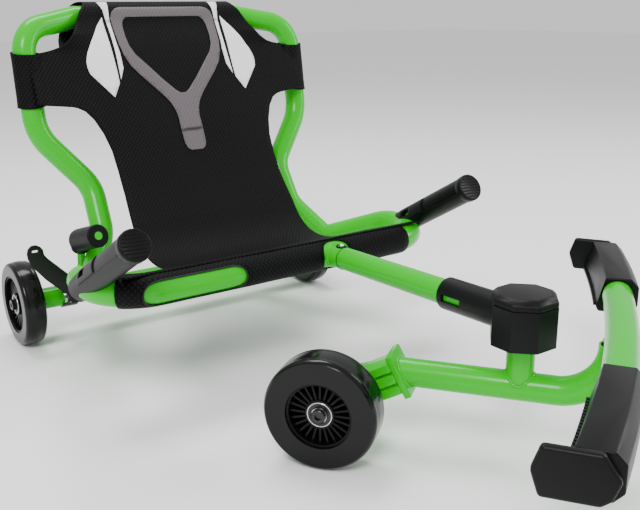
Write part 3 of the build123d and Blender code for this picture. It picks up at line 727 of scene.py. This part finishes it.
def saddle_trim(node, height, mat):
    """A copy of a tube, cut level, which hides the thin rim that the CAD node leaves beside the foot bar."""
    mesh = nodes[node].data.copy()
    mesh.name = node + "_look"
    bm = bmesh.new()
    bm.from_mesh(mesh)
    bmesh.ops.remove_doubles(bm, verts=bm.verts, dist=2e-6)
    geometry = bm.verts[:] + bm.edges[:] + bm.faces[:]
    bmesh.ops.bisect_plane(bm, geom=geometry, plane_co=(0, 0, height), plane_no=(0, 0, 1), clear_outer=True)
    bmesh.ops.holes_fill(bm, edges=[e for e in bm.edges if e.is_boundary], sides=0)
    bm.to_mesh(mesh)
    bm.free()
    obj = link(mesh.name, mesh, mat)
    mesh.set_sharp_from_angle(angle=math.radians(35))
    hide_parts(node)
    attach(obj, nodes[node]["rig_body"])


saddle_trim("leg_bar", LEG_TOP, GREEN)
soft_copy("wheel_flange", 0.0015, GREEN)
soft_copy("wheel_arm", 0.0020, GREEN)

# %% [markdown]
# ## Hand grips
# The grips' barrels come from CAD. Three moulded details go on top: a slightly larger end cap with level ribs, a
# raised panel round each window, and the parting line that the mould leaves along the barrel. Each is placed in the
# grip's own axes: along the barrel, across it, and up from it.

# %% Hand grips
GRIP_LOW, GRIP_HIGH = np.array((0.2504, -0.248, 0.1508)), np.array((0.246, -0.413, 0.242))


def grip_frame(side):
    low, high = GRIP_LOW * (side, 1, 1), GRIP_HIGH * (side, 1, 1)
    ahead = (high - low) / np.linalg.norm(high - low)
    across = np.array((1.0, 0, 0)) - ahead * ahead[0]
    across /= np.linalg.norm(across)
    return low, ahead, across, np.cross(ahead, across), float(np.linalg.norm(high - low))


def grip_point(side, along_mm, angle, radius):
    low, ahead, across, up, _ = grip_frame(side)
    a = math.radians(angle)
    return low + ahead * along_mm / 1000 + across * radius * math.cos(a) + up * radius * math.sin(a)


def lathe(name, origin, ahead, across, up, profile, mat, around=48):
    """Turns a profile of (distance along, radius) points about an axis."""
    points, faces = [], []
    for along_axis, radius in profile:
        for k in range(around):
            a = 2 * math.pi * k / around
            points.append(origin + ahead * along_axis + radius * (across * math.cos(a) + up * math.sin(a)))
    for n in range(len(profile) - 1):
        for k in range(around):
            b = (k + 1) % around
            faces.append((n * around + k, n * around + b, (n + 1) * around + b, (n + 1) * around + k))
    faces.append(tuple(range(around - 1, -1, -1)))
    faces.append(tuple(range((len(profile) - 1) * around, len(profile) * around)))
    mesh = mesh_of(name, points, faces)
    faces_out(mesh)
    return link(name, mesh, mat)


def blocks(name, boxes, mat):
    """Boxes given as (centre, three half-size vectors)."""
    points, faces = [], []
    for centre, a, b, c in boxes:
        base = len(points)
        for i in (-1, 1):
            for j in (-1, 1):
                for k in (-1, 1):
                    points.append(centre + i * a + j * b + k * c)
        for f in ((0, 1, 3, 2), (4, 6, 7, 5), (0, 4, 5, 1), (2, 3, 7, 6), (0, 2, 6, 4), (1, 5, 7, 3)):
            faces.append(tuple(base + v for v in f))
    mesh = mesh_of(name, points, faces)
    faces_out(mesh)
    obj = link(name, mesh, mat, smooth=False)
    bevel = obj.modifiers.new("soft edges", "BEVEL")
    bevel.width, bevel.segments = 0.0003, 2
    return obj


def grip_details(side, word):
    low, ahead, across, up, length = grip_frame(side)
    profile = [
        (-0.010, 0.0176), (-0.0095, 0.0186), (-0.001, 0.0190), (0.0012, 0.0184), (0.0020, 0.0172), (0.0014, 0.0160),
    ]
    cap = lathe(f"grip_cap_{word}", low + ahead * length, ahead, across, up, profile, PLASTIC)
    bars = []
    for n in range(7):
        height = (n - 3) * 0.0042
        half = math.sqrt(0.0150**2 - height**2)
        bars.append((low + ahead * (length + 0.0015) + up * height, across * half, up * 0.0008, ahead * 0.0006))
    ribs = blocks(f"grip_ribs_{word}", bars, PLASTIC)
    made = [cap, ribs]
    for middle, label in ((25, "a"), (155, "b")):
        rows = [40, 49.2, 66.8, 84, 100]
        turns = [middle - 34, middle - 14.5, middle + 14.5, middle + 34]
        rows = sorted(set(rows) | set(np.arange(40, 100.1, 5.0)))
        turns = sorted(set(turns) | {t for t in np.arange(middle - 34, middle + 34.1, 4.0)})
        points = [grip_point(side, w, t, 0.0181) for w in rows for t in turns]
        faces = []
        for i in range(len(rows) - 1):
            for k in range(len(turns) - 1):
                w, t = (rows[i] + rows[i + 1]) / 2, (turns[k] + turns[k + 1]) / 2
                if 49.2 < w < 66.8 and abs(t - middle) < 14.5:
                    continue
                n = i * len(turns) + k
                faces.append((n, n + 1, n + len(turns) + 1, n + len(turns)))
        mesh = mesh_of(f"grip_panel_{word}_{label}", points, faces)
        faces_out(mesh)
        panel = link(mesh.name, mesh, PLASTIC)
        thicken(panel, 0.0013)
        edge = panel.modifiers.new("soft edges", "BEVEL")
        edge.width, edge.segments, edge.limit_method = 0.0004, 2, "ANGLE"
        made.append(panel)
    for angle, label in ((95, "top"), (195, "low")):
        seam = [grip_point(side, w, angle, 0.0176) for w in np.linspace(34, length * 1000 - 12, 40)]
        made.append(tube(f"grip_seam_{word}_{label}", seam, 0.0005, PLASTIC, 6))
    for piece in made:
        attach(piece, "seat_frame")


grip_details(1, "left")
grip_details(-1, "right")

# %% [markdown]
# ## Weld beads
# Where one tube is notched on to another, the welder leaves a small rounded bead along the joint line. The joint line
# of two round tubes is known exactly, so the bead is a thin tube along it with a slight ripple.

# %% Weld beads
STEER = math.radians(36.2)
HEAD = np.array((0.0697, -0.671, 0.0))


def on_arm(x, y, z):
    """A point of the front arm, from its own straight-ahead axes to its stored pose."""
    c, s = math.cos(STEER), math.sin(STEER)
    return HEAD + np.array((x * c - y * s, x * s + y * c, z))


def bead(name, line, body, radius=0.0016):
    line = [np.array(p) for p in line]
    middle = sum(line) / len(line)
    rippled = [p + (p - middle) * 0.006 * math.sin(23 * n) for n, p in enumerate(line)]
    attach(tube(name, rippled, radius, GREEN, 8, closed=True), body)


turns = np.linspace(0, 2 * math.pi, 60, endpoint=False)
boom_line = [
    (
        BOOM_X + 0.0152 * math.cos(t),
        BAR[0] - math.sqrt(0.01905**2 - (0.0150 * math.sin(t)) ** 2),
        BAR[1] + 0.0152 * math.sin(t),
    )
    for t in turns
]
bead("weld_boom", boom_line, "seat_frame")
post_line = [
    on_arm(0.0152 * math.cos(t), 0.0152 * math.sin(t), 0.0906 + math.sqrt(0.0159**2 - (0.0150 * math.cos(t)) ** 2))
    for t in turns
]
bead("weld_post", post_line, "front_arm")
foot_line = [
    on_arm(
        0.0160 * math.cos(t),
        -0.0985 + 0.0160 * math.sin(t),
        0.160 - math.sqrt(max(0.017**2 - (0.0158 * math.sin(t)) ** 2, 0)),
    )
    for t in turns
]
bead("weld_foot_bar", foot_line, "front_arm")
FLANGE_Y, FLANGE_TILT = 0.1238, math.radians(28)
flange_line = [
    on_arm(
        0.0161 * math.cos(t), FLANGE_Y + 0.0161 * math.sin(t) * math.tan(FLANGE_TILT), 0.0906 + 0.0161 * math.sin(t)
    )
    for t in turns
]
bead("weld_flange", flange_line, "front_arm", 0.0018)

# %% [markdown]
# ## Boom details
# A dark collar marks where the boom slides on to its stub, and a black grommet surrounds the snap button.

# %% Boom details
PITCH = math.radians(1.5)
boom_ahead = np.array((0, -math.cos(PITCH), math.sin(PITCH)))
boom_up = np.array((0, math.sin(PITCH), math.cos(PITCH)))
boom_root = np.array((BOOM_X, BAR[0], BAR[1]))


def boom_ring(name, along_mm, radius, thick, mat):
    line = [
        boom_root + boom_ahead * along_mm / 1000 + radius * (np.array((1, 0, 0)) * math.cos(t) + boom_up * math.sin(t))
        for t in turns
    ]
    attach(tube(name, line, thick, mat, 8, closed=True), "seat_frame")


boom_ring("boom_joint_line", 38.0, 0.01505, 0.0006, BLACK_STEEL)
grommet = []
for t in turns:
    across, ahead = 0.0052 * math.cos(t), 0.0075 * math.sin(t)
    lift = math.sqrt(0.0151**2 - across**2)
    grommet.append(boom_root + boom_ahead * (0.030 + ahead) + np.array((across, 0, 0)) + boom_up * lift)
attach(tube("button_grommet", grommet, 0.0013, PLASTIC, 8, closed=True), "seat_frame")

# %% [markdown]
# ## Foot pads
# A row of small teeth runs along the lower rear edge of each pad, following the foot bar's bow.

# %% Foot pad teeth
BOW = 1.900


def on_bow(x, back, up):
    """A point beside the foot bar: distance along it, offset towards the rider, offset upwards."""
    turn = math.asin(x / BOW)
    radius = BOW - back
    return on_arm(radius * math.sin(turn), -0.099 + BOW - radius * math.cos(turn), 0.160 + up)


for side, word in ((1, "left"), (-1, "right")):
    line = [on_bow(side * x, 0.0228, -0.0135) for x in np.linspace(0.136, 0.280, 40)]
    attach(along(f"foot_teeth_{word}", line, 0.0062, (0.0052, 0.0040, 0.0034), PLASTIC), "front_arm")

# %% [markdown]
# ## Wheel trim
# Each hub shows a thin bright ring where the bearing is pressed in.

# %% Wheel trim


def trim_ring(name, centre, axis, body, radius=0.0136, thick=0.0009):
    axis = np.array(axis) / np.linalg.norm(axis)
    across = np.cross(axis, (0, 0, 1))
    across /= np.linalg.norm(across)
    up = np.cross(across, axis)
    line = [np.array(centre) + radius * (across * math.cos(t) + up * math.sin(t)) for t in turns]
    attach(tube(name, line, thick, STEEL, 10, closed=True), body)


wheel_axis = on_arm(1, 0, 0) - on_arm(0, 0, 0)
for face, word in ((-0.0141, "outer"), (0.0141, "inner")):
    trim_ring(f"front_ring_{word}", on_arm(-0.065 + face, 0.199, 0.064), wheel_axis, "front_wheel")
for side, word in ((1, "left"), (-1, "right")):
    trim_ring(f"rear_ring_{word}", (side * (0.2534 + 0.0121), 0, 0.0625), (1, 0, 0), f"rear_wheel_{word}")

# %% [markdown]
# ## Stage
# A plain white floor and three large soft lights give the broad highlights that show off curved paint.

# %% Stage


def area_light(name, place, target, size, power):
    data = bpy.data.lights.new(name, "AREA")
    data.shape = "RECTANGLE"
    data.size, data.size_y = size
    data.energy = power
    lamp = bpy.data.objects.new(name, data)
    bpy.context.scene.collection.objects.link(lamp)
    lamp.location = place
    aim = Vector(target) - Vector(place)
    lamp.rotation_euler = aim.to_track_quat("-Z", "Y").to_euler()
    return lamp


floor_mat = finish_of("floor", (0.92, 0.92, 0.92), 0.9)
floor_mesh = mesh_of("floor", [(-12, -12, 0), (12, -12, 0), (12, 12, 0), (-12, 12, 0)], [(0, 1, 2, 3)])
link("floor", floor_mesh, floor_mat, smooth=False)
world = bpy.data.worlds.new("studio")
bpy.context.scene.world = world
world.use_nodes = True
world.node_tree.nodes["Background"].inputs["Color"].default_value = (1, 1, 1, 1)
world.node_tree.nodes["Background"].inputs["Strength"].default_value = 0.85
area_light("key", (-1.6, -2.0, 2.4), (0, -0.3, 0.15), (1.0, 1.0), 70)
area_light("side", (2.3, -1.2, 1.5), (0, -0.3, 0.2), (0.5, 1.8), 30)
area_light("top", (0.1, 0.6, 2.6), (0, -0.3, 0.2), (1.6, 0.8), 50)

# %% [markdown]
# ## Camera
# A 48 mm lens at standing height in front of the rider's right, a little above the seat.

# %% Camera
camera_data = bpy.data.cameras.new("camera")
camera_data.lens = 48.14
camera_data.sensor_width = 36
camera_data.clip_end = 50
camera = bpy.data.objects.new("camera", camera_data)
bpy.context.scene.collection.objects.link(camera)
azimuth, elevation, roll = math.radians(-35.4), math.radians(16.3), math.radians(-0.4)
back = Vector((math.sin(azimuth) * math.cos(elevation), -math.cos(azimuth) * math.cos(elevation), math.sin(elevation)))
camera.rotation_euler = (back.to_track_quat("Z", "Y").to_matrix() @ Matrix.Rotation(roll, 3, "Z")).to_euler()
camera.location = (-0.5902, -1.2335, 0.4840)
bpy.context.scene.camera = camera
